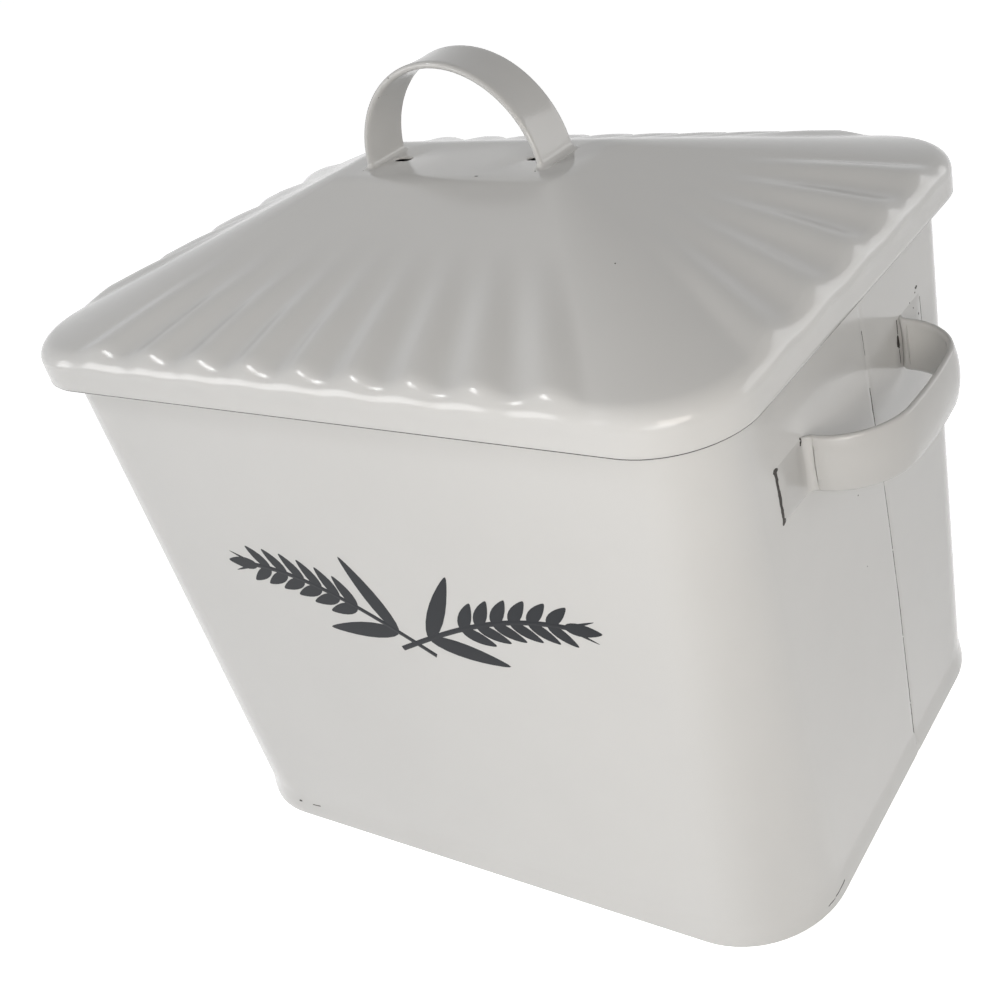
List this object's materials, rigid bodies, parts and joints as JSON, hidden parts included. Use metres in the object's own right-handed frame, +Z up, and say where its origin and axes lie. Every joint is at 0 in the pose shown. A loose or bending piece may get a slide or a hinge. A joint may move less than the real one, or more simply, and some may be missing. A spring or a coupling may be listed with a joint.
{
  "type": "enamel bread bin",
  "caption": "Upright enamelled steel bread bin with rounded corners, strap handles on both ends, and a fluted, vented lid with an arched handle that lifts off.",
  "frame": {"origin": "under the middle of the bin, on the plane that it stands on", "axes": "+Z is up, +X runs along the bin's length towards the end with the side seam, and the broad front faces -Y"},
  "size_m": [0.388, 0.253, 0.3427],
  "materials": {
    "white_enamel": "gloss",
    "steel_wire": "satin"
  },
  "bodies": {
    "bin": {"bin_wall": "white_enamel", "base_pan": "white_enamel", "rim_wire": "steel_wire", "side_handle_right": "white_enamel", "side_handle_left": "white_enamel"},
    "lid": {"lid_shell": "white_enamel", "lid_handle": "white_enamel"}
  },
  "joints": [
    {"name": "lid_lift", "type": "slide", "parent": "bin", "child": "lid", "axis": [0, 0, 1], "range_m": [0, 0.3]}
  ]
}
